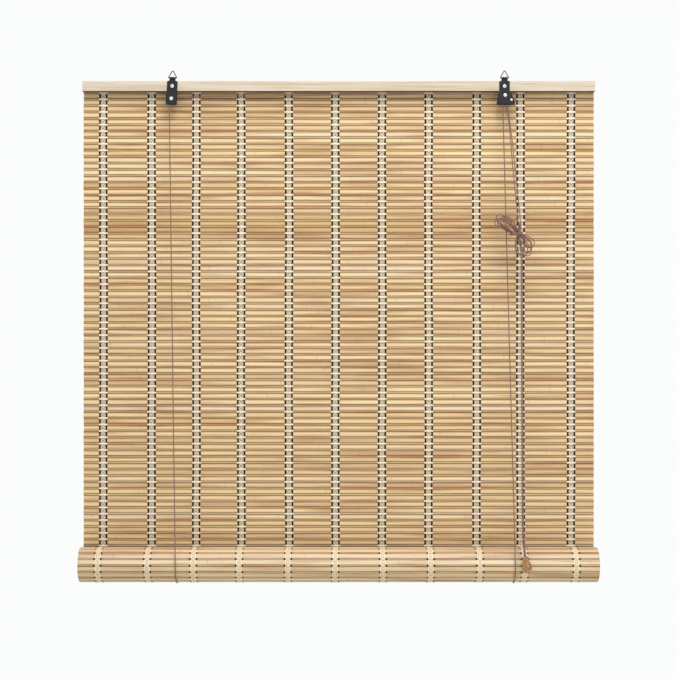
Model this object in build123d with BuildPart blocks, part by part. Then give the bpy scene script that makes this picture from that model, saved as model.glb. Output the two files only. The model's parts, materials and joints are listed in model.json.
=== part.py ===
from build123d import *

import os
from dataclasses import dataclass
from math import cos, radians, sin, sqrt, tan

# A bamboo roll up blind. X runs along the batten, +Y towards the window, +Z up. The origin is
# midway between the two points where the hanging rings bear on their hooks. Millimetres.

# Overall sizes.
blind_width = 900.0
roll_axis_drop = 862.0  # from the rings' bearing points down to the axis of the roll
ring_spacing = 582.0

# The mat: wide slats and thin sticks in turn, woven together by columns of thread.
slat_pitch = 11.25
slat_height = 7.9
slat_thickness = 1.2
stick_diameter = 2.4
first_slat_drop = 29.75
mat_gap = 0.6  # between the batten's back and the sticks, where the threads lie
column_x = (-415.1, -329.7, -251.2, -172.0, -87.8, -5.6, 76.7, 158.6, 243.3, 320.7, 409.6)
thread_thickness = 0.5
thread_gap = 0.05  # between the sticks and a thread
black_thread_width = 2.8
black_thread_offset = 5.85  # of each black thread from the middle of its column
cream_band_width = 8.4

# The roll at the mat's lower end.
roll_radius = 31.1
turn_gap = 0.7  # between one turn of the roll and the next
half_turns = 16
core_gap = 0.05

# The head batten and what fastens the mat to it.
batten_depth = 12.0
batten_height = 18.6
batten_top_drop = 16.4
batten_edge_radius = 1.2
staple_wire = 1.0
staple_crown = 10.0
staple_leg = 7.0

# The brackets, each a sheet steel plate with a pulley cover on its lower half.
sheet = 1.2
plate_width = 18.2
neck_width = 10.8
plate_top_drop = 16.7
cover_top_drop = 36.5
bracket_length = 58.4
corner_radius = 2.0
left_axle_drop = 48.7
right_axle_drop = 43.3
left_lean = 2.5  # degrees
screw_drop = 26.2

# The hanging rings.
ring_wire = 1.5
ring_base_drop = 11.8
ring_half_base = 7.9
ring_corner_radius = 1.1
ring_running_gap = 0.08

# Screws, axles and pins.
screw_head_radius = 3.1
screw_head_height = 1.4
screw_shank_radius = 1.5
screw_length = 10.0
recess_width = 0.9
recess_length = 3.4
recess_depth = 0.7
axle_radius = 1.5
axle_head_radius = 3.1
axle_head_height = 1.2
axle_tail_height = 0.8
cam_pin_radius = 1.2
cam_pin_head_radius = 2.0
cam_pin_head_height = 0.5
fixed_gap = 0.02  # radial, round a pin in a part that it holds fast
running_gap = 0.05  # radial, round a pin in a part that turns

# The pulleys.
cord_diameter = 1.8
pulley_pitch_radius = 3.85
pulley_radius = 5.0
groove_gap = 0.3
groove_land = 0.7
groove_pitch = 3.0
pulley_side_gap = 0.4

# The cord lock's cam.
cam_u = 11.2
cam_drop = 8.0
cam_hub_radius = 2.4
cam_tip_radius = 1.0
cam_reach = 4.6
cam_rest_angle = 198.0
cam_thickness = 6.0

# The lift cords.
left_lift_x = -281.0
right_lift_x = 304.0
lift_gap = 0.3
body_gap = 0.25  # between the ends of cords on different bodies
anchor_drop = 17.0
anchor_straight = 2.2  # from the cord's end to where it leaves the batten's back
anchor_end_drop = 32.0

# The pull cords, their hank and the acorn knob.
strand_gap = 0.7
hank_thickness = 10.0
knob_radius = 8.75
knob_height = 27.6
knob_lean = 10.0  # degrees
knob_bore_gap = 0.35
strand_pair_gap = 0.1  # between the two cords where they enter the knob
knob_pocket_radius = 4.2
knob_pocket_depth = 9.0
knob_x = 321.9
knob_y = -56.6
knob_drop = 856.5
knot_radius = 3.0

# Worked out from the sizes above.
batten_front_y = sheet / 2
batten_back_y = batten_front_y + batten_depth
mat_y = batten_back_y + mat_gap + stick_diameter / 2
band_radius = roll_radius - stick_diameter / 2
turn_pitch = stick_diameter + turn_gap
roll_y = mat_y - band_radius
cord_radius = cord_diameter / 2
knob_bore_radius = cord_diameter + strand_pair_gap / 2 + knob_bore_gap
lift_loop_radius = roll_radius + lift_gap + cord_radius
pulley_width = 2 * (cord_radius + groove_gap + groove_land)
rear_groove_y = -sheet / 2 - pulley_side_gap - pulley_width / 2
front_groove_y = rear_groove_y - groove_pitch
slat_count = int((roll_axis_drop - first_slat_drop - slat_height / 2) / slat_pitch) + 1
mat_top_drop = first_slat_drop - (slat_pitch + stick_diameter) / 2
mat_bottom_drop = first_slat_drop + slat_pitch * (slat_count - 0.5) + stick_diameter / 2

os.makedirs("parts", exist_ok=True)


def save(solid, name):
    """Labels a finished piece and writes it under its own name."""
    solid.label = name
    export_step(solid, f"parts/{name}.step")


def facing_front(x, y, z, lean=0.0):
    """A plane whose first axis is +X, second +Z and normal -Y, leaning to +X by lean degrees."""
    tilt = radians(lean)
    return Plane(origin=(x, y, z), x_dir=(cos(tilt), 0, -sin(tilt)), z_dir=(0, -1, 0))


def cord_radii(points):
    """The largest tangent arc that fits each corner of a route, from 0.45 of its shorter run."""
    vectors = [Vector(*point) for point in points]
    radii = []
    for before, corner, after in zip(vectors, vectors[1:], vectors[2:]):
        inward = corner - before
        outward = after - corner
        half_turn = radians(inward.get_angle(outward)) / 2
        radii.append(0.45 * min(inward.length, outward.length) / tan(half_turn))
    return radii


def cord(points, name, radii=None):
    """A round cord swept along straight runs joined by tangent arcs."""
    radii = radii or cord_radii(points)
    with BuildPart() as tube:
        with BuildLine() as route:
            FilletPolyline(*points, radius=radii)
        with BuildSketch(Plane(origin=route.wire() @ 0, z_dir=route.wire() % 0)):
            Circle(cord_radius)
        sweep(path=route.wire())
    area = tube.part.volume / route.wire().length
    print(name, "length", round(route.wire().length, 1), "section", round(area, 3),
          "radii", [round(radius, 1) for radius in radii])
    return tube.part


def straight_cord(start, end):
    """A round cord pulled tight between two points."""
    run = Vector(*end) - Vector(*start)
    with BuildPart() as tube:
        with BuildSketch(Plane(origin=start, z_dir=run.normalized())):
            Circle(cord_radius)
        extrude(amount=run.length)
    return tube.part


@dataclass(frozen=True)
class Bracket:
    """One bracket: its side, the axle's place, its lean, its pulley and its cover's outline."""

    name: str
    bearing_x: float
    axle_drop: float
    lean: float
    grooves: int
    cover_top: tuple
    cover_bottom: tuple
    open_side: int

    @property
    def reach(self):
        """From the axle up to the ring's bearing point, along the plate."""
        return self.axle_drop / cos(radians(self.lean))

    @property
    def axle_x(self):
        return self.bearing_x - self.reach * sin(radians(self.lean))

    @property
    def width_inside(self):
        """The pulley's width and its side gaps, between the plate and the cover."""
        return pulley_width + groove_pitch * (self.grooves - 1) + 2 * pulley_side_gap

    @property
    def cover_front(self):
        return -sheet / 2 - self.width_inside - sheet

    def plane(self, y):
        """A plane on the axle at depth y, facing the room and leaning with the bracket."""
        return facing_front(self.axle_x, y, -self.axle_drop, self.lean)

    def place(self, u, v, y):
        """The point at u along and v up the plate from its axle, at depth y."""
        return self.plane(y).from_local_coords((u, v, 0))


left = Bracket("left", -ring_spacing / 2, left_axle_drop, left_lean, 1,
               (-9.55, 9.55), (-9.55, 9.55), 1)
right = Bracket("right", ring_spacing / 2, right_axle_drop, 0.0, 2,
                (-10.5, 9.8), (-14.3, 18.8), -1)
brackets = (left, right)

# The head batten, with a pilot hole for each bracket's screw.

with BuildPart() as head_batten:
    with BuildSketch(Plane.YZ.offset(-blind_width / 2)):
        with Locations(((batten_front_y + batten_back_y) / 2, -batten_top_drop - batten_height / 2)):
            RectangleRounded(batten_depth, batten_height, batten_edge_radius)
    extrude(amount=blind_width)
    for bracket in brackets:
        with BuildSketch(bracket.plane(batten_front_y)):
            with Locations((0, bracket.reach - screw_drop)):
                Circle(screw_shank_radius + fixed_gap)
        extrude(amount=-screw_length, mode=Mode.SUBTRACT)
save(head_batten.part, "head_batten")

# The flat part of the mat.

slat_drops = [first_slat_drop + slat_pitch * i for i in range(slat_count)]
with BuildPart() as mat_slats:
    with BuildSketch(Plane.YZ.offset(-blind_width / 2)):
        with Locations(*[(mat_y, -drop) for drop in slat_drops]):
            Rectangle(slat_thickness, slat_height)
    extrude(amount=blind_width)
save(mat_slats.part, "mat_slats")

stick_drops = [first_slat_drop + slat_pitch * (i - 0.5) for i in range(slat_count + 1)]
with BuildPart() as mat_sticks:
    with BuildSketch(Plane.YZ.offset(-blind_width / 2)):
        with Locations(*[(mat_y, -drop) for drop in stick_drops]):
            Circle(stick_diameter / 2)
    extrude(amount=blind_width)
save(mat_sticks.part, "mat_sticks")

thread_length = mat_bottom_drop - mat_top_drop
thread_middle_z = -(mat_bottom_drop + mat_top_drop) / 2
thread_out = stick_diameter / 2 + thread_gap + thread_thickness / 2


def thread_strips(centres, width, name):
    """Flat strips of thread down both faces of the mat, at each centre."""
    with BuildPart() as strips:
        for face in (-1, 1):
            with BuildSketch(Plane.XY.offset(thread_middle_z - thread_length / 2)):
                with Locations(*[(x, mat_y + face * thread_out) for x in centres]):
                    Rectangle(width, thread_thickness)
            extrude(amount=thread_length)
    save(strips.part, name)


black_x = [x + side * black_thread_offset for x in column_x for side in (-1, 1)]
thread_strips(black_x, black_thread_width, "black_threads")
thread_strips(column_x, cream_band_width, "cream_threads")

# Staples that hold the mat's first slat to the batten's back.

staple_y = mat_y + slat_thickness / 2
staple_x = [(before + after) / 2 for before, after in zip(column_x, column_x[1:])]


def staples(places, crown_y, drop, crown, name):
    """Square-wire staples driven forwards into the batten."""
    with BuildPart() as row:
        for x in places:
            with BuildSketch(Plane.XY.offset(-drop - staple_wire / 2)):
                with Locations((x, crown_y + staple_wire / 2)):
                    Rectangle(crown + staple_wire, staple_wire)
                with Locations((x - crown / 2, crown_y - staple_leg / 2),
                               (x + crown / 2, crown_y - staple_leg / 2)):
                    Rectangle(staple_wire, staple_leg)
            extrude(amount=staple_wire)
    save(row.part, name)


staples(staple_x, staple_y, first_slat_drop, staple_crown, "mat_staples")

# The brackets: plate with a curl round its ring, pulley cover, screw, axle, pulley and ring.


def cover_outline(bracket):
    """The corners of a pulley cover in its bracket's own plane."""
    top = bracket.reach - cover_top_drop
    bottom = bracket.reach - bracket_length
    return (
        (bracket.cover_top[0], top),
        (bracket.cover_top[1], top),
        (bracket.cover_bottom[1], bottom),
        (bracket.cover_bottom[0], bottom),
    )


def build_plate(bracket):
    """The plate behind the pulley: its curl, neck, upper half and the cover's outline."""
    curl_v = bracket.reach - ring_base_drop
    plate_top = bracket.reach - plate_top_drop
    cover_top = bracket.reach - cover_top_drop
    curl_bore = ring_wire / 2 + ring_running_gap
    with BuildPart() as plate:
        with BuildSketch(bracket.plane(sheet / 2)) as outline:
            with Locations((0, (plate_top + cover_top) / 2)):
                Rectangle(plate_width, plate_top - cover_top)
            with BuildLine():
                Polyline(*cover_outline(bracket), close=True)
            make_face()
            fillet(outline.vertices().group_by(Axis.Y)[0], corner_radius)
            fillet(outline.vertices().group_by(Axis.Y)[-1], corner_radius)
            with Locations((0, (plate_top + curl_v) / 2)):
                Rectangle(neck_width, plate_top - curl_v)
            with Locations((0, bracket.reach - screw_drop)):
                Circle(screw_shank_radius + fixed_gap, mode=Mode.SUBTRACT)
            Circle(axle_radius + fixed_gap, mode=Mode.SUBTRACT)
            if bracket.grooves > 1:
                with Locations((cam_u, -cam_drop)):
                    Circle(cam_pin_radius + fixed_gap, mode=Mode.SUBTRACT)
        extrude(amount=sheet)
        curl_start = bracket.place(-neck_width / 2, curl_v, 0)
        along = bracket.plane(0).x_dir
        with BuildSketch(Plane(origin=curl_start, z_dir=along)):
            Circle(curl_bore + sheet)
        extrude(amount=neck_width)
        with BuildSketch(Plane(origin=curl_start, z_dir=along)):
            Circle(curl_bore)
        extrude(amount=neck_width, mode=Mode.SUBTRACT)
    return plate.part


def build_cover(bracket):
    """The pulley cover, open below and on the side where the cord between the brackets runs."""
    outline = cover_outline(bracket)
    top = outline[0][1]
    bottom = outline[2][1]
    beyond = 2 * plate_width
    wall_top = bracket.cover_top[0] + sheet
    wall_bottom = bracket.cover_bottom[0] + sheet
    if bracket.open_side < 0:
        wall_top = bracket.cover_top[1] - sheet
        wall_bottom = bracket.cover_bottom[1] - sheet
    pocket = (
        (wall_top, top - sheet),
        (bracket.open_side * beyond, top - sheet),
        (bracket.open_side * beyond, bottom - sheet),
        (wall_bottom + (wall_bottom - wall_top) * sheet / (top - bottom), bottom - sheet),
    )
    with BuildPart() as cover:
        with BuildSketch(bracket.plane(-sheet / 2)) as shape:
            with BuildLine():
                Polyline(*outline, close=True)
            make_face()
            fillet(shape.vertices().group_by(Axis.Y)[0], corner_radius)
        extrude(amount=bracket.width_inside + sheet)
        with BuildSketch(bracket.plane(-sheet / 2)):
            with BuildLine():
                Polyline(*pocket, close=True)
            make_face()
        extrude(amount=bracket.width_inside, mode=Mode.SUBTRACT)
        with BuildSketch(bracket.plane(-sheet / 2)):
            Circle(axle_radius + fixed_gap)
            if bracket.grooves > 1:
                with Locations((cam_u, -cam_drop)):
                    Circle(cam_pin_radius + fixed_gap)
        extrude(amount=bracket.width_inside + sheet, mode=Mode.SUBTRACT)
    return cover.part


def build_screw(bracket):
    """A round-headed screw with a cross recess, through the plate into the batten."""
    v = bracket.reach - screw_drop
    with BuildPart() as screw:
        with BuildSketch(bracket.plane(batten_front_y)):
            with Locations((0, v)):
                Circle(screw_shank_radius)
        extrude(amount=-screw_length)
        with BuildSketch(bracket.plane(batten_front_y)):
            with Locations((0, v)):
                Circle(screw_shank_radius)
        extrude(amount=sheet)
        with BuildSketch(bracket.plane(-sheet / 2)):
            with Locations((0, v)):
                Circle(screw_head_radius)
        extrude(amount=screw_head_height)
        crown = screw.faces().sort_by(Axis.Y)[0]
        fillet(crown.edges(), screw_head_height / 2)
        with BuildSketch(bracket.plane(-sheet / 2 - screw_head_height)):
            with Locations((0, v)):
                Rectangle(recess_length, recess_width)
                Rectangle(recess_width, recess_length)
        extrude(amount=-recess_depth, mode=Mode.SUBTRACT)
    return screw.part


def build_pin(bracket, u, v, radius, head_radius, head_height, tail_height):
    """A riveted pin from behind the plate to the front of the cover."""
    with BuildPart() as pin:
        with BuildSketch(bracket.plane(sheet / 2)):
            with Locations((u, v)):
                Circle(radius)
        extrude(amount=sheet / 2 - bracket.cover_front)
        with BuildSketch(bracket.plane(bracket.cover_front)):
            with Locations((u, v)):
                Circle(head_radius)
        extrude(amount=head_height)
        fillet(pin.faces().sort_by(Axis.Y)[0].edges(), head_height / 2)
        with BuildSketch(bracket.plane(sheet / 2)):
            with Locations((u, v)):
                Circle((radius + head_radius) / 2)
        extrude(amount=-tail_height)
    return pin.part


def build_pulley(bracket):
    """A grooved pulley, turned about its axle."""
    width = pulley_width + groove_pitch * (bracket.grooves - 1)
    groove_radius = cord_radius + groove_gap
    front_y = rear_groove_y + pulley_width / 2 - width
    bore = axle_radius + running_gap
    axle_line = Axis((bracket.axle_x, 0, -bracket.axle_drop), (0, 1, 0))
    half_section = Plane(
        origin=(bracket.axle_x, front_y, -bracket.axle_drop), x_dir=(0, 1, 0), z_dir=(1, 0, 0)
    )
    with BuildPart() as pulley:
        with BuildSketch(half_section):
            with Locations((width / 2, (bore + pulley_radius) / 2)):
                Rectangle(width, pulley_radius - bore)
            for groove in range(bracket.grooves):
                across = width - pulley_width / 2 - groove_pitch * groove
                with Locations((across, pulley_pitch_radius)):
                    Circle(groove_radius, mode=Mode.SUBTRACT)
                with Locations((across, pulley_pitch_radius + groove_radius)):
                    Rectangle(2 * groove_radius, 2 * groove_radius, mode=Mode.SUBTRACT)
        revolve(axis=axle_line)
    return pulley.part


def ring_rise():
    """From the ring's base line up to its apex, so that its arc bears at the bearing point."""
    ratio = ring_corner_radius / ring_half_base
    arc_rise = ring_base_drop + ring_wire / 2 - ring_corner_radius
    spread = arc_rise**2 - (1 - ratio**2) * (arc_rise**2 - ring_corner_radius**2)
    return (arc_rise + sqrt(spread)) / (1 - ratio**2)


def build_ring(bracket):
    """A triangular hanging ring of bent wire, its base inside the plate's curl."""
    base_v = bracket.reach - ring_base_drop
    with BuildPart() as ring:
        with BuildLine(bracket.plane(0)) as wire:
            FilletPolyline(
                (-ring_half_base, base_v),
                (0, base_v + ring_rise()),
                (ring_half_base, base_v),
                radius=ring_corner_radius,
                close=True,
            )
        with BuildSketch(Plane(origin=wire.wire() @ 0, z_dir=wire.wire() % 0)):
            Circle(ring_wire / 2)
        sweep(path=wire.wire())
    return ring.part


for bracket in brackets:
    save(build_plate(bracket), f"{bracket.name}_plate")
    save(build_cover(bracket), f"{bracket.name}_cover")
    save(build_screw(bracket), f"{bracket.name}_screw")
    axle = build_pin(bracket, 0, 0, axle_radius, axle_head_radius, axle_head_height, axle_tail_height)
    save(axle, f"{bracket.name}_axle")
    save(build_pulley(bracket), f"{bracket.name}_pulley")
    save(build_ring(bracket), f"{bracket.name}_ring")

# The cord lock: a toothless cam beside the pull cords, on its own pin.

cam_pin = build_pin(right, cam_u, -cam_drop, cam_pin_radius, cam_pin_head_radius,
                    cam_pin_head_height, cam_pin_head_height)
save(cam_pin, "cam_pin")

cam_back = -sheet / 2 - (right.width_inside - cam_thickness) / 2
cam_turn = radians(cam_rest_angle)
cam_plane = Plane(
    origin=right.place(cam_u, -cam_drop, cam_back),
    x_dir=(cos(cam_turn), 0, sin(cam_turn)),
    z_dir=(0, -1, 0),
)
with BuildPart() as lock_cam:
    with BuildSketch(cam_plane):
        with BuildLine():
            Line((0, cam_hub_radius), (cam_reach, cam_tip_radius))
            ThreePointArc(
                (cam_reach, cam_tip_radius),
                (cam_reach + cam_tip_radius, 0),
                (cam_reach, -cam_tip_radius),
            )
            Line((cam_reach, -cam_tip_radius), (0, -cam_hub_radius))
            ThreePointArc((0, -cam_hub_radius), (-cam_hub_radius, 0), (0, cam_hub_radius))
        make_face()
        Circle(cam_pin_radius + running_gap, mode=Mode.SUBTRACT)
    extrude(amount=cam_thickness)
save(lock_cam.part, "lock_cam")

# The cords that the pulleys hold: one runs across from the left bracket to the right.

exit_z = -bracket_length
slope = (left.axle_drop - right.axle_drop) / (right.axle_x - left.axle_x)
rise = pulley_pitch_radius * sqrt(1 + slope**2)
left_cord_x = left.axle_x - pulley_pitch_radius
right_cord_x = right.axle_x - pulley_pitch_radius
pull_x = right.axle_x + pulley_pitch_radius
cross_route = (
    (left_cord_x, rear_groove_y, exit_z),
    (left_cord_x, rear_groove_y, -left.axle_drop + rise - slope * pulley_pitch_radius),
    (pull_x, rear_groove_y, -right.axle_drop + rise + slope * pulley_pitch_radius),
    (pull_x, rear_groove_y, exit_z),
)
save(cord(cross_route, "cross_cord", [pulley_pitch_radius] * 2), "cross_cord")

over_z = -right.axle_drop + pulley_pitch_radius
with BuildPart() as over_cord:
    with BuildLine() as over_line:
        Line((right_cord_x, front_groove_y, exit_z), (right_cord_x, front_groove_y, -right.axle_drop))
        ThreePointArc(
            (right_cord_x, front_groove_y, -right.axle_drop),
            (right.axle_x, front_groove_y, over_z),
            (pull_x, front_groove_y, -right.axle_drop),
        )
        Line((pull_x, front_groove_y, -right.axle_drop), (pull_x, front_groove_y, exit_z))
    with BuildSketch(Plane.XY.offset(exit_z)):
        with Locations((right_cord_x, front_groove_y)):
            Circle(cord_radius)
    sweep(path=over_line.wire())
save(over_cord.part, "over_cord")

# The lift cords: down from the brackets to the roll, under it, and up behind the mat.

axis_z = -roll_axis_drop
front_y = roll_y - lift_loop_radius
back_y = roll_y + lift_loop_radius
lifts = (
    ("left", left_cord_x, rear_groove_y, left_lift_x),
    ("right", right_cord_x, front_groove_y, right_lift_x),
)
for name, top_x, top_y, lift_x in lifts:
    front = straight_cord((top_x, top_y, exit_z), (lift_x, front_y, axis_z + body_gap))
    save(front, f"{name}_front_cord")
    back = straight_cord((lift_x, back_y, axis_z + body_gap), (lift_x, back_y, -anchor_end_drop))
    save(back, f"{name}_back_cord")
    with BuildPart() as loop:
        with BuildLine() as under:
            ThreePointArc(
                (lift_x, back_y, axis_z),
                (lift_x, roll_y, axis_z - lift_loop_radius),
                (lift_x, front_y, axis_z),
            )
        with BuildSketch(Plane.XY.offset(axis_z)):
            with Locations((lift_x, back_y)):
                Circle(cord_radius)
        sweep(path=under.wire())
    save(loop.part, f"{name}_loop")
    anchor_y = batten_back_y + cord_radius
    anchor_route = (
        (lift_x, anchor_y, -anchor_drop),
        (lift_x, anchor_y, -anchor_drop - anchor_straight),
        (lift_x, back_y, -anchor_drop - anchor_straight - (back_y - anchor_y)),
        (lift_x, back_y, -anchor_end_drop),
    )
    save(cord(anchor_route, f"{name}_cord_anchor"), f"{name}_cord_anchor")

staples((left_lift_x, right_lift_x), batten_back_y + cord_diameter,
        anchor_drop + anchor_straight / 2, cord_diameter + staple_wire, "cord_staples")

# The roll: one band wound inwards by half turns, about a round bottom rod.


def turn_centre(k):
    """The depth of half turn k's centre: the upper half turns lean half a pitch forwards."""
    return roll_y - (k % 2) * turn_pitch / 2


def turn_points(k, offset):
    """The start, middle and end of half turn k, offset outwards from its middle line."""
    radius = band_radius - k * turn_pitch / 2 + offset
    side = 1 if k % 2 == 0 else -1
    y = turn_centre(k)
    return (y + side * radius, axis_z), (y, axis_z - side * radius), (y - side * radius, axis_z)


with BuildPart() as roll:
    with BuildSketch(Plane.YZ.offset(-blind_width / 2)):
        with BuildLine():
            half_band = stick_diameter / 2
            for k in range(half_turns):
                ThreePointArc(*turn_points(k, half_band))
                ThreePointArc(*turn_points(k, -half_band))
            Line(turn_points(0, half_band)[0], turn_points(0, -half_band)[0])
            last = half_turns - 1
            Line(turn_points(last, half_band)[2], turn_points(last, -half_band)[2])
        make_face()
    extrude(amount=blind_width)
save(roll.part, "roll")

inner_radius = band_radius - (half_turns - 1) * turn_pitch / 2 - stick_diameter / 2
rod_y = roll_y - turn_pitch / 4
rod_radius = inner_radius - turn_pitch / 4 - core_gap
with BuildPart() as bottom_rod:
    with BuildSketch(Plane.YZ.offset(-blind_width / 2)):
        with Locations((rod_y, axis_z)):
            Circle(rod_radius)
    extrude(amount=blind_width)
save(bottom_rod.part, "bottom_rod")

# The pull cords: two strands from the lock to the hank, and on down to the acorn knob.

pull_z = exit_z - strand_gap
rear_strand = (
    (pull_x, rear_groove_y, pull_z),
    (299.4, -8.6, -104.0),
    (303.9, -14.2, -174.0),
    (308.8, -18.6, -227.0),
    (313.5, -22.7, -277.0),
)
front_strand = (
    (pull_x, front_groove_y, pull_z),
    (301.4, -9.2, -104.0),
    (307.8, -14.4, -174.0),
    (313.0, -18.8, -227.0),
    (316.8, -22.9, -277.0),
)
save(cord(rear_strand, "rear_pull_strand"), "rear_pull_strand")
save(cord(front_strand, "front_pull_strand"), "front_pull_strand")

hank_y = -25.2
tie = (312.4, -287.6)
with BuildPart() as hank:
    with BuildSketch(Plane.XZ.offset(-hank_y - hank_thickness / 2)):
        with Locations(tie):
            Circle(7.0)
        with Locations((296.0, -274.5)):
            SlotCenterToCenter(38.0, 15.5, rotation=142.0)
        with Locations((322.0, -308.0)):
            Ellipse(21.5, 13.5, rotation=-62.0)
        with Locations((304.8, -268.0)):
            Ellipse(9.0, 4.0, rotation=110.0)
    extrude(amount=hank_thickness)
save(hank.part, "hank")

knob_tilt = radians(knob_lean)
knob_plane = Plane(
    origin=(knob_x, knob_y, -knob_drop),
    x_dir=(cos(knob_tilt), 0, sin(knob_tilt)),
    z_dir=(0, -1, 0),
)
half_height = knob_height / 2
with BuildPart() as knob:
    with BuildSketch(knob_plane):
        with BuildLine():
            Polyline((0, half_height), (4.6, half_height))
            ThreePointArc((4.6, half_height), (5.5, half_height - 1.2), (5.1, half_height - 2.6))
            Spline(
                (5.1, half_height - 2.6),
                (6.3, half_height - 8.5),
                (knob_radius, half_height - 18.5),
                (5.6, -half_height + 1.4),
                (3.4, -half_height),
                tangents=((-0.3, -1), (-1, -0.1)),
            )
            Polyline((3.4, -half_height), (0, -half_height), (0, half_height))
        make_face()
    revolve(axis=Axis(knob_plane.origin, knob_plane.y_dir))
    with BuildSketch(Plane(origin=knob_plane.origin, z_dir=knob_plane.y_dir)):
        Circle(knob_bore_radius)
    extrude(amount=half_height, both=True, mode=Mode.SUBTRACT)
    with BuildSketch(Plane(origin=knob_plane.from_local_coords((0, -half_height, 0)),
                           z_dir=knob_plane.y_dir)):
        Circle(knob_pocket_radius)
    extrude(amount=knob_pocket_depth, mode=Mode.SUBTRACT)
save(knob.part, "knob")

knot_v = -half_height + knob_pocket_depth - knot_radius
with BuildPart() as knot:
    with Locations(knob_plane.from_local_coords((0, knot_v, 0))):
        Sphere(knot_radius)
save(knot.part, "knob_knot")

strands = (("rear", -1, 316.6, -26.9), ("front", 1, 318.8, -27.1))
for name, side, hank_x, hank_exit_y in strands:
    across = side * (cord_radius + strand_pair_gap / 2)
    lower_route = (
        (hank_x, hank_exit_y, -325.0),
        (315.9 + across, -53.0, -786.0),
        tuple(knob_plane.from_local_coords((across, half_height + 14.0, 0))),
        tuple(knob_plane.from_local_coords((across, knot_v + knot_radius, 0))),
    )
    save(cord(lower_route, f"{name}_lower_strand"), f"{name}_lower_strand")
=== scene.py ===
import json
import logging
import math
import random
from collections.abc import Callable, Iterable, Sequence
from dataclasses import dataclass, field
from enum import Enum

import bmesh
import bpy
from bmesh.types import BMVert, BMesh
from bpy.types import Material, Mesh, Node, NodeSocket, NodeTree, Object
from mathutils import Matrix, Vector


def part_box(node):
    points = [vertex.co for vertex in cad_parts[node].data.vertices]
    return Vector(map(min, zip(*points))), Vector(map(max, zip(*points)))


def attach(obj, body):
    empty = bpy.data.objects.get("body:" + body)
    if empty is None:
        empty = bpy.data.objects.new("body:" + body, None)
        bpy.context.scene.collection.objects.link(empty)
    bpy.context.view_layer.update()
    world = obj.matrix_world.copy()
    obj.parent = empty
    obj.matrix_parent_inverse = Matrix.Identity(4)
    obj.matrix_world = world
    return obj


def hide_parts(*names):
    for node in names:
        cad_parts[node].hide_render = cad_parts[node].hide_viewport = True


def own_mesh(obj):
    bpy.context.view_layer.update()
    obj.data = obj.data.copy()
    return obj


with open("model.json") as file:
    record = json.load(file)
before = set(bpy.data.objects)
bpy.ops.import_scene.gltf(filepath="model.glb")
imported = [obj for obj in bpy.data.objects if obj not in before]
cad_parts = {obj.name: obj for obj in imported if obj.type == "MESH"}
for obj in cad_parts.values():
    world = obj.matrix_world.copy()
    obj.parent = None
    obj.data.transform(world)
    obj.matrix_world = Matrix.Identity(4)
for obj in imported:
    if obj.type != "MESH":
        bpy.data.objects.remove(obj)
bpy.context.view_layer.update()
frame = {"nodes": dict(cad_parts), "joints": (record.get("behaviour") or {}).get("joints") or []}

MM = 0.001
WHOLE_TURN = 2 * math.pi
MERGE_GAP = 0.01 * MM  # vertices of a thread closer than this are one
SLAT_EDGE = 1.0, 1.15  # how dark a slat's long edges are, their own brown deepened as painted shade between strips, and how far in that reaches, in mm
ROLLED_SLAT_EDGE = 0.95, 1.05
STICK_EDGE = 0.9, 0.75
log = logging.getLogger("blind")

Point = tuple[float, float, float]
Placer = Callable[[float, float, float], Vector]


# Small tools


def mm_point(point: Sequence[float]) -> Vector:
    """A point in millimetres as a vector in metres."""
    return Vector(point) * MM


def shade(code: str) -> tuple[float, float, float, float]:
    """Turns an sRGB hex code into the linear colour that shaders take.

    Args:
        code: Six hex digits, such as "EADAC1".

    Returns:
        Linear red, green, blue and an alpha of one.
    """
    linear = []
    for start in (0, 2, 4):
        value = int(code[start:start + 2], 16) / 255
        linear.append(value / 12.92 if value <= 0.04045 else ((value + 0.055) / 1.055) ** 2.4)
    return (linear[0], linear[1], linear[2], 1.0)


def add_node(tree: NodeTree, kind: str, links: dict[str | int, object],
             **settings: object) -> Node:
    """Adds a shader node, with its settings, values and links.

    Args:
        tree: The material's node tree.
        kind: The node's type, without its ShaderNode prefix.
        links: For each input, the socket that feeds it or its own value.
        settings: The node's own properties.

    Returns:
        The new node.
    """
    node = tree.nodes.new("ShaderNode" + kind)
    for name, value in settings.items():
        setattr(node, name, value)
    for socket, value in links.items():
        if isinstance(value, NodeSocket):
            tree.links.new(value, node.inputs[socket])
        else:
            node.inputs[socket].default_value = value
    return node


def ramp(tree: NodeTree, factor: NodeSocket,
         stops: Sequence[tuple[float, str]]) -> NodeSocket:
    """A colour ramp through the given hex codes.

    Args:
        tree: The material's node tree.
        factor: What drives the ramp.
        stops: Positions and hex codes, in rising order.

    Returns:
        The ramp's colour socket.
    """
    node = add_node(tree, "ValToRGB", {"Fac": factor})
    elements = node.color_ramp.elements
    while len(elements) < len(stops):
        elements.new(0.5)
    for element, (place, code) in zip(elements, stops):
        element.position = place
        element.color = shade(code)
    return node.outputs["Color"]


def mix(tree: NodeTree, blend: str, factor: object, first: object,
        second: object) -> NodeSocket:
    """Mixes two colours.

    Args:
        tree: The material's node tree.
        blend: The blend type, such as MIX or MULTIPLY.
        factor: A socket or a number.
        first: A socket or a colour.
        second: A socket or a colour.

    Returns:
        The mixed colour's socket.
    """
    node = add_node(tree, "Mix", {0: factor, 6: first, 7: second}, data_type="RGBA",
                    blend_type=blend)
    return node.outputs[2]


def calculate(tree: NodeTree, operation: str, *values: object) -> NodeSocket:
    """One step of arithmetic on sockets or numbers."""
    node = add_node(tree, "Math", dict(enumerate(values)), operation=operation)
    return node.outputs[0]


def blank_material(
        name: str) -> tuple[Material, NodeTree, Node]:
    """A new material, with its node tree and its shader."""
    material = bpy.data.materials.new(name)
    material.use_nodes = True
    return material, material.node_tree, material.node_tree.nodes["Principled BSDF"]


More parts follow.
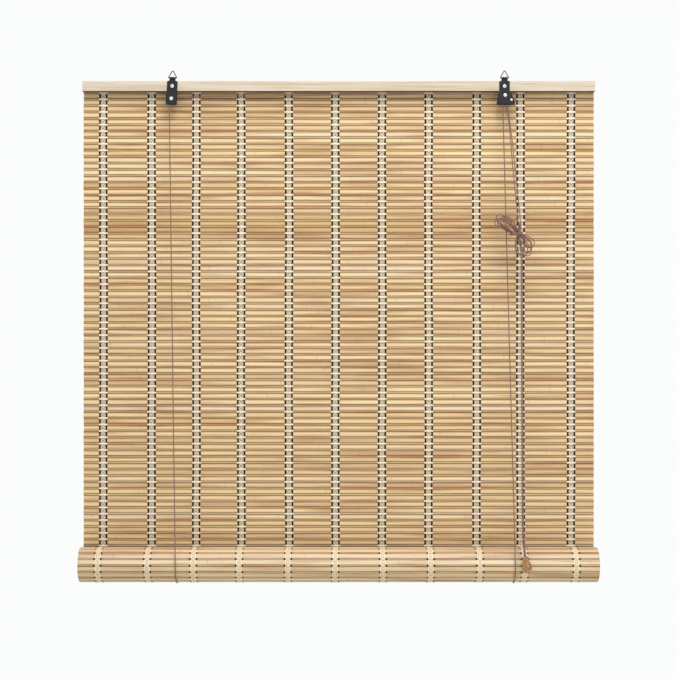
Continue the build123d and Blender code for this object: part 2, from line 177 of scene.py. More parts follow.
def relieve(tree: NodeTree, shader: Node, height: NodeSocket,
            strength: float, depth_mm: float) -> None:
    """Gives a shader fine relief.

    Args:
        tree: The material's node tree.
        shader: The shader that it feeds.
        height: The socket that says how high each place is.
        strength: How much of the relief shows, from 0 to 1.
        depth_mm: Its depth in millimetres.
    """
    relief = add_node(tree, "Bump", {
        "Height": height, "Strength": strength, "Distance": depth_mm * MM})
    tree.links.new(relief.outputs[0], shader.inputs["Normal"])


def dress(piece: Object, finish: Material) -> None:
    """Gives a piece one finish all over."""
    piece.data.materials.clear()
    piece.data.materials.append(finish)


def seat(bm: BMesh, name: str, finish: Material, body: str,
         stands_for: Sequence[str] = (), smooth_angle: float = 40.0) -> Object:
    """Turns a finished bmesh into a piece that rides on a body.

    Args:
        bm: The bmesh, in metres and in place, which is freed.
        name: The piece's name.
        finish: Its material.
        body: The body that it moves with.
        stands_for: The CAD nodes that it replaces.
        smooth_angle: Edges sharper than this, in degrees, stay sharp.

    Returns:
        The new object.
    """
    for face in bm.faces:
        face.smooth = True
    for edge in bm.edges:
        if len(edge.link_faces) == 2:
            edge.smooth = edge.calc_face_angle(0.0) < math.radians(smooth_angle)
    mesh = bpy.data.meshes.new(name)
    bm.to_mesh(mesh)
    bm.free()
    piece = bpy.data.objects.new(name, mesh)
    bpy.context.collection.objects.link(piece)
    dress(piece, finish)
    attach(piece, body)
    if stands_for:
        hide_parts(*stands_for)
    log.info("%s: %d faces on %s", name, len(mesh.polygons), body)
    return piece


# Finishes


@dataclass(frozen=True)
class Bamboo:
    """Split bamboo: long fibres, a tone of its own for each strip, and brown edges deepened by
    painted shade between strips.
    """

    roughness: float = 0.5
    fibre_mm: float = 0.9  # across the strip; real fibres are finer than a render can show
    run_mm: float = 160.0  # along it
    joint_mm: float = 330.0  # between the cane's joints
    joint_width_mm: float = 2.2

    def make(self) -> Material:
        """Builds the material, which reads each piece's tone and edge attributes."""
        material, tree, shader = blank_material("split_bamboo")
        place = add_node(tree, "TexCoord", {}).outputs["Object"]
        tone = add_node(tree, "Attribute", {}, attribute_name="tone").outputs["Fac"]
        edge = add_node(tree, "Attribute", {}, attribute_name="edge").outputs["Fac"]
        across = 1 / (self.fibre_mm * MM)
        stretch = add_node(tree, "Mapping", {
            "Vector": place, "Scale": (1 / (self.run_mm * MM), across, across)})
        fibres = add_node(tree, "TexNoise", {
            "Vector": stretch.outputs[0], "Scale": 1.0, "Detail": 3.0, "Roughness": 0.6})
        broad = add_node(tree, "Mapping", {"Vector": place, "Scale": (5.0, 110.0, 110.0)})
        stains = add_node(tree, "TexNoise", {
            "Vector": broad.outputs[0], "Scale": 1.0, "Detail": 2.0})
        skin = ramp(tree, tone, (
            (0.0, "D0A873"), (0.25, "E1BE89"), (0.5, "EFCF9C"), (0.7, "F5D9A8"),
            (0.85, "F0D2AA"), (1.0, "FBE8C4")))
        streak = ramp(tree, fibres.outputs["Fac"], (
            (0.3, "BC9C76"), (0.5, "F4EDE2"), (0.72, "FFFFFF")))
        body = mix(tree, "MULTIPLY", 0.62, skin, streak)
        stain = ramp(tree, stains.outputs["Fac"], ((0.34, "C29468"), (0.52, "FFFFFF")))
        body = mix(tree, "MULTIPLY", 0.5, body, stain)
        along = add_node(tree, "SeparateXYZ", {"Vector": place}).outputs["X"]
        shifted = calculate(tree, "MULTIPLY_ADD", tone, 7.3, along)
        cycle = calculate(tree, "FRACT", calculate(tree, "DIVIDE", shifted, self.joint_mm * MM))
        near = calculate(tree, "ABSOLUTE", calculate(tree, "SUBTRACT", cycle, 0.5))
        joint = calculate(tree, "LESS_THAN", near, self.joint_width_mm / self.joint_mm / 2)
        body = mix(tree, "MIX", calculate(tree, "MULTIPLY", joint, 0.18), body, shade("8C6238"))
        # The long edges go dark brown: partly the cane's own edge colour, partly painted shade in
        # the gaps between slats and sticks.
        body = mix(tree, "MIX", edge, body, shade("2B1709"))
        tree.links.new(body, shader.inputs["Base Color"])
        shader.inputs["Roughness"].default_value = self.roughness
        relieve(tree, shader, fibres.outputs["Fac"], 0.25, 0.2)
        return material


@dataclass(frozen=True)
class PlanedWood:
    """Planed softwood or turned hardwood, with grain along X or Z and a clear coat or none."""

    name: str
    light: str
    dark: str
    ring_mm: float
    run_mm: float
    roughness: float
    coat: float = 0.0
    upright: bool = False
    grain_depth: float = 0.5
    painted_shade_below_mm: float | None = None  # the height under which the wood is painted dark, as shade on its underside

    def make(self) -> Material:
        """Builds the material from Object coordinates."""
        material, tree, shader = blank_material(self.name)
        place = add_node(tree, "TexCoord", {}).outputs["Object"]
        ring = 1 / (self.ring_mm * MM)
        run = 1 / (self.run_mm * MM)
        scale = (ring, ring, run) if self.upright else (run, ring, ring)
        stretch = add_node(tree, "Mapping", {"Vector": place, "Scale": scale})
        grain = add_node(tree, "TexNoise", {
            "Vector": stretch.outputs[0], "Scale": 1.0, "Detail": 4.0, "Roughness": 0.62,
            "Distortion": 0.3})
        fine = add_node(tree, "TexNoise", {
            "Vector": stretch.outputs[0], "Scale": 4.2, "Detail": 2.0})
        body = ramp(tree, grain.outputs["Fac"], ((0.34, self.dark), (0.6, self.light)))
        pores = ramp(tree, fine.outputs["Fac"], ((0.32, "D8C3A4"), (0.5, "FFFFFF")))
        body = mix(tree, "MULTIPLY", self.grain_depth, body, pores)
        if self.painted_shade_below_mm is not None:
            # Below that height the wood is painted dark brown: painted shade on the batten's
            # underside.
            height = add_node(tree, "SeparateXYZ", {"Vector": place}).outputs["Z"]
            painted_underside_shade = calculate(tree, "LESS_THAN", height, self.painted_shade_below_mm * MM)
            body = mix(tree, "MIX", painted_underside_shade, body, shade("5B4128"))
        tree.links.new(body, shader.inputs["Base Color"])
        shader.inputs["Roughness"].default_value = self.roughness
        shader.inputs["Coat Weight"].default_value = self.coat
        shader.inputs["Coat Roughness"].default_value = 0.12
        relieve(tree, shader, fine.outputs["Fac"], 0.15, 0.1)
        return material


@dataclass(frozen=True)
class CottonThread:
    """Spun cotton: matt, faintly ribbed by its twist, with a soft sheen."""

    name: str
    light: str
    dark: str
    twist_mm: float = 0.8

    def make(self) -> Material:
        """Builds the material from Object coordinates."""
        material, tree, shader = blank_material(self.name)
        place = add_node(tree, "TexCoord", {}).outputs["Object"]
        twist = add_node(tree, "TexWave", {
            "Vector": place, "Scale": 0.32 / (self.twist_mm * MM), "Distortion": 1.5,
            "Detail": 1.0}, bands_direction="DIAGONAL")
        body = ramp(tree, twist.outputs["Fac"], ((0.1, self.dark), (0.7, self.light)))
        tree.links.new(body, shader.inputs["Base Color"])
        shader.inputs["Roughness"].default_value = 0.9
        shader.inputs["Sheen Weight"].default_value = 0.04
        relieve(tree, shader, twist.outputs["Fac"], 0.5, 0.15)
        return material


@dataclass(frozen=True)
class StitchedBand:
    """The flat cream yarns of a thread column, crossed by fine diagonal stitches."""

    name: str = "cream_cotton_band"
    yarns: int = 5
    light: str = "DDCDB3"
    middle: str = "AE9575"
    dark: str = "574128"

    def make(self) -> Material:
        """Builds the material; U runs across a band and V counts its slats."""
        material, tree, shader = blank_material(self.name)
        uv = add_node(tree, "TexCoord", {}).outputs["UV"]
        parts = add_node(tree, "SeparateXYZ", {"Vector": uv})
        u, v = parts.outputs["X"], parts.outputs["Y"]
        wave = calculate(tree, "SINE", calculate(tree, "MULTIPLY", u, self.yarns * math.pi))
        yarn = calculate(tree, "ABSOLUTE", wave)
        cross = None
        for lean in (1.0, -1.0):
            slope = calculate(tree, "MULTIPLY_ADD", v, 2.0, calculate(tree, "MULTIPLY", u, lean))
            saw = calculate(tree, "ABSOLUTE", calculate(
                tree, "SUBTRACT", calculate(tree, "FRACT", slope), 0.5))
            line = calculate(tree, "GREATER_THAN", saw, 0.4)
            cross = line if cross is None else calculate(tree, "MAXIMUM", cross, line)
        speck = add_node(tree, "TexNoise", {"Vector": uv, "Scale": 9.0, "Detail": 2.0})
        height = calculate(tree, "MAXIMUM", calculate(tree, "MULTIPLY", yarn, 0.7), cross)
        body = ramp(tree, height, ((0.1, self.dark), (0.45, self.middle), (0.85, self.light)))
        tired = ramp(tree, speck.outputs["Fac"], ((0.35, "BFAE98"), (0.55, "FFFFFF")))
        body = mix(tree, "MULTIPLY", 0.55, body, tired)
        tree.links.new(body, shader.inputs["Base Color"])
        shader.inputs["Roughness"].default_value = 0.9
        shader.inputs["Sheen Weight"].default_value = 0.1
        relieve(tree, shader, height, 0.6, 0.25)
        return material


@dataclass(frozen=True)
class BraidedCord:
    """Braided polyester cord: strands cross both ways round it, in a dusty pinkish brown, its
    hollows painted near black as shade.
    """

    strands: int = 4
    pick_mm: float = 3.2  # one strand's climb in one turn round the cord
    light: str = "A57868"
    dark: str = "2F1610"

    def make(self) -> Material:
        """Builds the material; U is the distance along a cord in metres, V goes once round."""
        material, tree, shader = blank_material("braided_polyester_cord")
        uv = add_node(tree, "TexCoord", {}).outputs["UV"]
        parts = add_node(tree, "SeparateXYZ", {"Vector": uv})
        climb = calculate(tree, "DIVIDE", parts.outputs["X"], self.pick_mm * MM)
        height = None
        for lean in (self.strands, -self.strands):
            turn = calculate(tree, "MULTIPLY_ADD", parts.outputs["Y"], float(lean), climb)
            wave = calculate(tree, "SINE", calculate(tree, "MULTIPLY", turn, WHOLE_TURN))
            height = wave if height is None else calculate(tree, "MAXIMUM", height, wave)
        # The low places between strands go almost black: painted shade in the braid's hollows.
        body = ramp(tree, height, ((0.25, self.dark), (0.95, self.light)))
        tree.links.new(body, shader.inputs["Base Color"])
        shader.inputs["Roughness"].default_value = 0.75
        shader.inputs["Sheen Weight"].default_value = 0.2
        relieve(tree, shader, height, 0.5, 0.15)
        return material


@dataclass(frozen=True)
class Metal:
    """Sheet or wire steel under lacquer or zinc, with fine mottling and rubbed places."""

    name: str
    colour: str
    rubbed: str
    metallic: float
    roughness: float
    mottle_mm: float = 2.5
    coat: float = 0.0

    def make(self) -> Material:
        """Builds the material from Object coordinates."""
        material, tree, shader = blank_material(self.name)
        place = add_node(tree, "TexCoord", {}).outputs["Object"]
        mottle = add_node(tree, "TexNoise", {
            "Vector": place, "Scale": 1 / (self.mottle_mm * MM), "Detail": 4.0, "Roughness": 0.6})
        body = ramp(tree, mottle.outputs["Fac"], ((0.45, self.colour), (0.78, self.rubbed)))
        tree.links.new(body, shader.inputs["Base Color"])
        gloss = add_node(tree, "MapRange", {
            "Value": mottle.outputs["Fac"], "To Min": self.roughness - 0.08,
            "To Max": self.roughness + 0.12})
        tree.links.new(gloss.outputs[0], shader.inputs["Roughness"])
        shader.inputs["Metallic"].default_value = self.metallic
        shader.inputs["Coat Weight"].default_value = self.coat
        relieve(tree, shader, mottle.outputs["Fac"], 0.12, 0.1)
        return material


@dataclass(frozen=True)
class PaintedPlaster:
    """The pale matt sweep behind and under the blind."""

    colour: str = "E3E4E3"

    def make(self) -> Material:
        """Builds the material, with a faint roller texture."""
        material, tree, shader = blank_material("painted_plaster")
        place = add_node(tree, "TexCoord", {}).outputs["Object"]
        stipple = add_node(tree, "TexNoise", {"Vector": place, "Scale": 3.0, "Detail": 2.0})
        body = ramp(tree, stipple.outputs["Fac"], ((0.3, "DDDFDE"), (0.7, self.colour)))
        tree.links.new(body, shader.inputs["Base Color"])
        shader.inputs["Roughness"].default_value = 0.95
        return material


class Finishes:
    """Every material of the blind, made once."""

    def __init__(self) -> None:
        """Makes the materials."""
        self.bamboo = Bamboo().make()
        self.batten = PlanedWood(
            "planed_pine", "CBBFAE", "BCA98E", 3.2, 260.0, 0.5, 0.1, painted_shade_below_mm=-34.2).make()
        self.rod = PlanedWood("round_bamboo_rod", "DDBE8E", "B98F5C", 1.5, 90.0, 0.5).make()
        self.acorn = PlanedWood(
            "varnished_turned_beech", "AE7D44", "7A4D22", 2.6, 30.0, 0.22, 1.0, upright=True,
            grain_depth=0.3).make()
        self.black = CottonThread("black_cotton", "0D0A0A", "040303").make()
        self.cream = CottonThread("cream_cotton", "F4EAD6", "CFBC9E").make()
        self.band = StitchedBand().make()
        self.back_band = StitchedBand(
            "cream_stitches_over_bamboo", 4, "EBDDC0", "D2B88F", "B3946A").make()
        self.cord = BraidedCord().make()
        self.lacquer = Metal("black_lacquered_steel", "07090C", "12151A", 0.0, 0.45).make()
        self.wire = Metal("black_lacquered_wire", "121417", "2A2D32", 0.3, 0.4, 1.2).make()
        self.zinc = Metal("bright_zinc_plate", "FAFBFC", "DFE2E5", 0.75, 0.32, 1.5).make()
        self.nylon = Metal("moulded_black_nylon", "1B1C1E", "2B2C2F", 0.0, 0.5, 1.0).make()


# The mat


class Face(Enum):
    """The two faces of the mat; the room's face is inside the roll."""

    ROOM = -1
    WINDOW = 1


def next_ring(bm: BMesh, ring: Sequence[BMVert], step: Vector) -> list[BMVert]:
    """Adds a moved copy of a ring, and the faces between the two in a fixed order."""
    moved = [bm.verts.new(vert.co + step) for vert in ring]
    for k, vert in enumerate(ring):
        bm.faces.new((vert, moved[k], moved[k - 1], ring[k - 1]))
    return moved


def bar(profile: Sequence[tuple[float, float]], length: float, steps: int) -> BMesh:
    """Draws a closed profile out along X, centred on the origin.

    Args:
        profile: Points across X, in metres.
        length: The bar's length in metres.
        steps: How many lengthwise stretches it has.

    Returns:
        A closed bmesh, with no faces inside it.
    """
    bm = bmesh.new()
    ring = [bm.verts.new((-length / 2, y, z)) for y, z in reversed(profile)]
    bm.faces.new(ring[::-1])
    for _ in range(steps):
        ring = next_ring(bm, ring, Vector((length / steps, 0, 0)))
    bm.faces.new(ring[::-1])
    bmesh.ops.recalc_face_normals(bm, faces=bm.faces)
    return bm


def ribbon(bm: BMesh, stations: Sequence[Vector], section: Sequence[Vector]) -> None:
    """Adds an open tube of a small section, moved from station to station.

    Args:
        bm: The bmesh that it joins.
        stations: The section's places, in metres.
        section: The section's corners about a station.
    """
    ring = [bm.verts.new(stations[0] + corner) for corner in section]
    for here, there in zip(stations, stations[1:]):
        ring = next_ring(bm, ring, there - here)


def keep_mesh(bm: BMesh) -> Mesh:
    """Stores a bmesh as a mesh to copy from, and frees it."""
    mesh = bpy.data.meshes.new("pattern")
    bm.to_mesh(mesh)
    bm.free()
    return mesh


@dataclass
class MatPattern:
    """The weave: one wide slat and one thin stick to each pitch, and the thread columns."""

    width: float = 900.0
    pitch: float = 11.25
    slat_height: float = 9.0
    slat_thickness: float = 1.2
    stick_diameter: float = 2.4
    columns: tuple[float, ...] = (
        -415.1, -329.7, -251.2, -172.0, -87.8, -5.6, 76.7, 158.6, 243.3, 320.7, 409.6)
    black_offset: float = 5.85
    black_width: float = 3.1
    band_width: float = 7.6
    lightness: float = 0.55
    drift: float = 0.0  # how the tone wanders from strip to strip
    dice: random.Random = field(default_factory=lambda: random.Random(41))

    def slat_shape(self) -> Mesh:
        """A slat with a slightly crowned face and worn corners, lying along X."""
        half = self.slat_height / 2
        thick = self.slat_thickness / 2
        profile = [
            (-thick + 0.25, -half), (-thick + 0.04, -half + 0.45), (-thick, -half + 0.95),
            (-thick - 0.07, 0), (-thick, half - 0.95), (-thick + 0.04, half - 0.45),
            (-thick + 0.25, half), (thick - 0.25, half), (thick - 0.04, half - 0.45),
            (thick, half - 0.95), (thick, 0.95 - half), (thick - 0.04, 0.45 - half),
            (thick - 0.25, -half)]
        return keep_mesh(bar([(y * MM, z * MM) for y, z in profile], self.width * MM, 10))

    def stick_shape(self) -> Mesh:
        """A thin split stick of eight flats."""
        radius = self.stick_diameter / 2 * MM
        profile = [(radius * math.cos(turn), radius * math.sin(turn))
                   for turn in (WHOLE_TURN * (k + 0.5) / 8 for k in range(8))]
        return keep_mesh(bar(profile, self.width * MM, 8))

    def lay(self, bm: BMesh, shape: Mesh, seat_matrix: Matrix,
            edge_brown_and_shade: float, edge_width: float) -> None:
        """Copies one strip into the mat, with its own bow, tone and uneven ends.

        Args:
            bm: The bmesh that it joins.
            shape: The strip, lying along X about the origin.
            seat_matrix: Where it goes.
            edge_brown_and_shade: How dark its long edges are: their own brown, deepened as painted
                shade between strips.
            edge_width: How far in from them the darkening reaches, in millimetres.
        """
        before = len(bm.verts)
        bm.from_mesh(shape)
        bm.verts.ensure_lookup_table()
        verts = bm.verts[before:]
        tone = bm.verts.layers.float["tone"]
        edge = bm.verts.layers.float["edge"]
        self.drift = 0.8 * self.drift + self.dice.gauss(0.0, 0.07)
        own = min(1.0, max(0.0, self.lightness + self.drift + self.dice.gauss(0.0, 0.1)))
        phase = self.dice.uniform(0, WHOLE_TURN)
        bow = self.dice.uniform(0.0, 0.08) * MM
        slide = self.dice.uniform(-0.35, 0.35) * MM
        squeeze = self.dice.uniform(0.99, 1.0)
        highest = max(vert.co.z for vert in verts)
        for vert in verts:
            vert[tone] = own
            # Each strip darkens towards its long edges: the cane's own brown, deepened as painted
            # shade where neighbouring strips meet.
            inside = (highest - abs(vert.co.z)) / MM
            vert[edge] = edge_brown_and_shade * min(1.0, max(0.0, 2.1 * (1.0 - inside / edge_width)))
            wave = bow * math.sin(vert.co.x * 9.0 + phase)
            vert.co = Vector((vert.co.x + slide, vert.co.y + 0.5 * wave,
                              vert.co.z * squeeze + wave))
        bmesh.ops.transform(bm, matrix=seat_matrix, verts=verts)

    def strips(self, seats: Iterable[Matrix], shape: Mesh, edge_brown_and_shade: float,
               edge_width: float) -> BMesh:
        """All the slats or all the sticks of one stretch of mat."""
        bm = bmesh.new()
        bm.verts.layers.float.new("tone")
        bm.verts.layers.float.new("edge")
        for matrix in seats:
            self.lay(bm, shape, matrix, edge_brown_and_shade, edge_width)
        return bm

    def black_pitch(self) -> BMesh:
        """One pitch of a column's two black threads: over the slat, behind the stick."""
        bm = bmesh.new()
        slat_face = self.slat_thickness / 2 + 0.32
        stick_back = self.stick_diameter / 2 + 0.3
        wave = ((0.0, stick_back), (1.5, 1.0), (2.0, -slat_face), (5.6, -slat_face - 0.12),
                (9.25, -slat_face), (9.75, 1.0), (self.pitch, stick_back))
        half = self.black_width / 2
        section = [mm_point((x, y, 0)) for x, y in ((-half, 0), (0, -0.32), (half, 0), (0, 0.26))]
        for side in (-1, 1):
            stations = [mm_point((side * self.black_offset, depth, -drop)) for drop, depth in wave]
            ribbon(bm, stations, section)
        return bm

    def cream_pitch(self) -> BMesh:
        """One pitch of a column's cream stitches: over the sticks in front, lines behind."""
        bm = bmesh.new()
        stick_face = -self.stick_diameter / 2 - 0.3
        reach = self.black_offset + self.black_width / 2 + 0.35
        across = [mm_point((x, stick_face + lift, 0)) for x, lift in
                  ((-reach, 0.75), (-4.6, -0.1), (4.6, -0.1), (reach, 0.75))]
        thin = [mm_point((0, y, z)) for y, z in ((0, -1.45), (-0.3, 0), (0, 1.45), (0.25, 0))]
        ribbon(bm, across, thin)
        back = self.slat_thickness / 2 + 0.25
        line = [mm_point((x, y, 0)) for x, y in ((-0.75, 0), (0, -0.25), (0.75, 0), (0, 0.3))]
        for side in (-1, 1):
            stations = [mm_point((side * 3.9, depth, -drop)) for drop, depth in
                        ((0.9, 0.2), (1.7, back), (9.55, back), (10.35, 0.2))]
            ribbon(bm, stations, line)
        return bm

    def band_pitch(self, face: Face) -> BMesh:
        """One pitch of a column's flat cream band.

        Args:
            face: The face of the mat that it lies on.

        Returns:
            The band, starting at a stick.
        """
        bm = bmesh.new()
        half = self.band_width / 2 if face is Face.ROOM else 3.1
        out = face.value
        slat_face = out * (self.slat_thickness / 2 + 0.22)
        stick_face = out * (self.stick_diameter / 2 + 0.16)
        wave = ((0.0, stick_face), (1.5, slat_face), (9.75, slat_face), (self.pitch, stick_face))
        section = [mm_point((x, out * y, 0)) for x, y in (
            (-half, -0.05), (-half * 0.5, 0.2), (half * 0.5, 0.2), (half, -0.05), (0, -0.12))]
        ribbon(bm, [mm_point((0, depth, -drop)) for drop, depth in wave], section)
        return bm

    def woven(self, pitch_mesh: BMesh, count: int, place: Placer,
              with_uv: bool = False) -> BMesh:
        """Repeats one pitch of thread down every column and places it.

        Args:
            pitch_mesh: The threads of one pitch, starting at a stick, which is freed.
            count: How many pitches the columns run.
            place: Turns x, depth and distance down the mat into a place.
            with_uv: Whether the threads get U across the column and V in pitches.

        Returns:
            The threads of all the columns, closed at their ends.
        """
        shape = keep_mesh(pitch_mesh)
        run = bmesh.new()
        for k in range(count):
            before = len(run.verts)
            run.from_mesh(shape)
            run.verts.ensure_lookup_table()
            bmesh.ops.translate(run, verts=run.verts[before:], vec=(0, 0, -k * self.pitch * MM))
        bmesh.ops.remove_doubles(run, verts=run.verts, dist=MERGE_GAP)
        bmesh.ops.holes_fill(run, edges=run.edges, sides=6)
        bmesh.ops.recalc_face_normals(run, faces=run.faces)
        column_mesh = keep_mesh(run)
        bm = bmesh.new()
        uv = bm.loops.layers.uv.new("UVMap") if with_uv else None
        for column in self.columns:
            before = len(bm.verts)
            faces_before = len(bm.faces)
            bm.from_mesh(column_mesh)
            bm.verts.ensure_lookup_table()
            bm.faces.ensure_lookup_table()
            if uv:
                for face in bm.faces[faces_before:]:
                    for loop in face.loops:
                        spot = loop.vert.co
                        loop[uv].uv = (spot.x / (self.band_width * MM) + 0.5,
                                       -spot.z / (self.pitch * MM) + column)
            phase = column * 0.37
            for vert in bm.verts[before:]:
                down = -vert.co.z
                wander = 0.45 * MM * math.sin(down * 11.0 + phase) + 0.25 * MM * math.sin(
                    down * 37.0 + 2 * phase)
                vert.co = place(vert.co.x + column * MM + wander, vert.co.y, down)
        return bm


@dataclass
class FlatMat:
    """The flat part of the mat, between the batten and the roll."""

    pattern: MatPattern
    finishes: Finishes
    lift: float = 0.64

    def build(self) -> None:
        """Builds the slats, sticks and threads from the CAD boxes."""
        slat_low, slat_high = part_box("mat_slats")
        stick_low, stick_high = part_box("mat_sticks")
        depth = (slat_low[1] + slat_high[1]) / 2
        pitch = self.pattern.pitch * MM
        top = stick_high[2] - self.pattern.stick_diameter / 2 * MM
        count = round((slat_high[2] - slat_low[2]) / pitch)
        slats = [Matrix.Translation((0, depth, top - pitch * (k + 0.5))) for k in range(count)]
        sticks = [Matrix.Translation((0, depth, top - pitch * k)) for k in range(count + 1)]

        def flat(x: float, y: float, down: float) -> Vector:
            """A place on the flat mat."""
            return Vector((x, depth + y, top - down))

        shape = self.pattern
        made = [
            seat(shape.strips(slats, shape.slat_shape(), *SLAT_EDGE), "bamboo_slats",
                 self.finishes.bamboo, "frame", ["mat_slats"]),
            seat(shape.strips(sticks, shape.stick_shape(), *STICK_EDGE), "bamboo_sticks",
                 self.finishes.bamboo, "frame", ["mat_sticks"]),
            seat(shape.woven(shape.black_pitch(), count + 1, flat), "black_weaving",
                 self.finishes.black, "frame", ["black_threads"]),
            seat(shape.woven(shape.cream_pitch(), count + 1, flat), "cream_weaving",
                 self.finishes.cream, "frame", ["cream_threads"]),
            seat(shape.woven(shape.band_pitch(Face.ROOM), count, flat, with_uv=True), "room_bands",
                 self.finishes.band, "frame"),
            seat(shape.woven(shape.band_pitch(Face.WINDOW), count + 1, flat, with_uv=True),
                 "window_bands", self.finishes.back_band, "frame"),
        ]
        for piece in made:
            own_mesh(piece)


@dataclass
class RolledMat:
    """The roll: the same mat wound inwards by half turns, its window face outwards."""

    pattern: MatPattern
    finishes: Finishes
    turn_pitch: float = 3.1
    half_turns: int = 16
    threaded_pitches: int = 18

    def spiral(self, centre: Vector, radius: float, distance: float) -> tuple[float, float, float]:
        """Where the mat's middle is, this far along the roll.

        Args:
            centre: The roll's axis.
            radius: The first half turn's radius.
            distance: The distance from the start, in metres.

        Returns:
            The half turn's centre depth, its radius and the angle turned.
        """
        for k in range(self.half_turns):
            own = radius - k * self.turn_pitch / 2 * MM
            if distance <= math.pi * own or k == self.half_turns - 1:
                shift = (k % 2) * self.turn_pitch / 2 * MM
                return centre.y - shift, own, math.pi * k + distance / own
            distance -= math.pi * own
        raise ValueError("the roll has no turns")

    def build(self) -> None:
        """Builds the rolled slats, sticks and threads about the CAD roll's axis."""
        low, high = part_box("roll")
        hinge = next(j for j in frame["joints"] if j["name"] == "roll_spin")
        centre = Vector(hinge["pos_m"])
        radius = (high[1] - low[1]) / 2 - self.pattern.stick_diameter / 2 * MM
        whole = math.pi * sum(radius - k * self.turn_pitch / 2 * MM for k in range(self.half_turns))
        pitch = self.pattern.pitch * MM
        start = 0.25 * MM  # the first rolled slat follows the last flat stick

        def wound(x: float, y: float, down: float) -> Vector:
            """A place on the rolled mat."""
            middle, own, turned = self.spiral(centre, radius, max(down, 0.0))
            reach = own + y
            return Vector((x, middle + reach * math.cos(turned),
                           centre.z - reach * math.sin(turned)))

        def strip_seat(down: float) -> Matrix:
            """Where a strip this far along the roll goes, flat against it."""
            middle, own, turned = self.spiral(centre, radius, down)
            spot = Vector((0, middle + own * math.cos(turned), centre.z - own * math.sin(turned)))
            return Matrix.Translation(spot) @ Matrix.Rotation(-turned, 4, "X")

        count = int((whole - start) / pitch)
        slats = [strip_seat(start + pitch * k) for k in range(count)]
        sticks = [strip_seat(start + pitch * (k + 0.5)) for k in range(count)]
        shape = self.pattern

        def wound_from_stick(x: float, y: float, down: float) -> Vector:
            """A place on the rolled mat, from its first stick on."""
            return wound(x, y, down + start + pitch / 2)

        turns = self.threaded_pitches
        seat(shape.strips(slats, shape.slat_shape(), *ROLLED_SLAT_EDGE), "rolled_slats",
             self.finishes.bamboo, "roll", ["roll"])
        seat(shape.strips(sticks, shape.stick_shape(), *STICK_EDGE), "rolled_sticks",
             self.finishes.bamboo, "roll")
        seat(shape.woven(shape.black_pitch(), turns, wound_from_stick), "rolled_black_weaving",
             self.finishes.black, "roll")
        seat(shape.woven(shape.cream_pitch(), turns, wound_from_stick), "rolled_cream_weaving",
             self.finishes.cream, "roll")
        seat(shape.woven(shape.band_pitch(Face.WINDOW), turns, wound_from_stick, with_uv=True),
             "rolled_window_bands", self.finishes.back_band, "roll")
        dress(frame["nodes"]["bottom_rod"], self.finishes.rod)


# Cords


@dataclass
class Cord:
    """A braided cord along a smooth route, made as a mesh tube."""

    name: str
    route: Sequence[Point]  # control points in millimetres
    finishes: Finishes
    diameter: float = 1.8
    closed: bool = False
    around: int = 2

    def spline(self, bevel: float) -> Mesh:
        """The route's smooth curve as a mesh.

        Args:
            bevel: The tube's radius in metres, or zero for a bare line.

        Returns:
            The mesh of the tube or the line.
        """
        curve = bpy.data.curves.new(self.name + "_route", "CURVE")
        curve.dimensions = "3D"
        curve.bevel_depth = bevel
        curve.bevel_resolution = self.around
        curve.use_fill_caps = bevel > 0
        line = curve.splines.new("NURBS")
        line.points.add(len(self.route) - 1)
        for point, place in zip(line.points, self.route):
            point.co = (*mm_point(place), 1.0)
        line.order_u = 3
        line.use_endpoint_u = not self.closed
        line.use_cyclic_u = self.closed
        line.resolution_u = 5
        holder = bpy.data.objects.new(self.name + "_route", curve)
        mesh = bpy.data.meshes.new_from_object(holder)
        bpy.data.objects.remove(holder)
        bpy.data.curves.remove(curve)
        return mesh

    def path(self) -> list[Vector]:
        """The points that the cord's middle follows, in metres."""
        line = self.spline(0.0)
        points = [vert.co.copy() for vert in line.vertices]
        bpy.data.meshes.remove(line)
        return points

    def build(self, body: str, stands_for: Sequence[str] = ()) -> Object:
        """Makes the tube, with its braid's UV map in metres along it.

        Args:
            body: The body that it rides on.
            stands_for: The CAD nodes that it replaces.

        Returns:
            The cord's piece.
        """
        points = self.path()
        if self.closed:
            points.append(points[0])
        run = [0.0]
        for a, b in zip(points, points[1:]):
            run.append(run[-1] + (b - a).length)
        length = run[-1]
        mesh = self.spline(self.diameter / 2 * MM)
        mesh.name = self.name
        for loop in mesh.uv_layers[0].data:
            loop.uv.x = run[round(loop.uv.x * (len(run) - 1))]
        for face in mesh.polygons:
            face.use_smooth = True
        bm = bmesh.new()
        bm.from_mesh(mesh)
        bmesh.ops.remove_doubles(bm, verts=bm.verts, dist=0.001 * MM)
        bmesh.ops.recalc_face_normals(bm, faces=bm.faces)
        bpy.data.meshes.remove(mesh)
        piece = seat(bm, self.name, self.finishes.cord, body, stands_for, 60.0)
        log.info("%s: %.1f mm of cord", self.name, length / MM)
        return piece


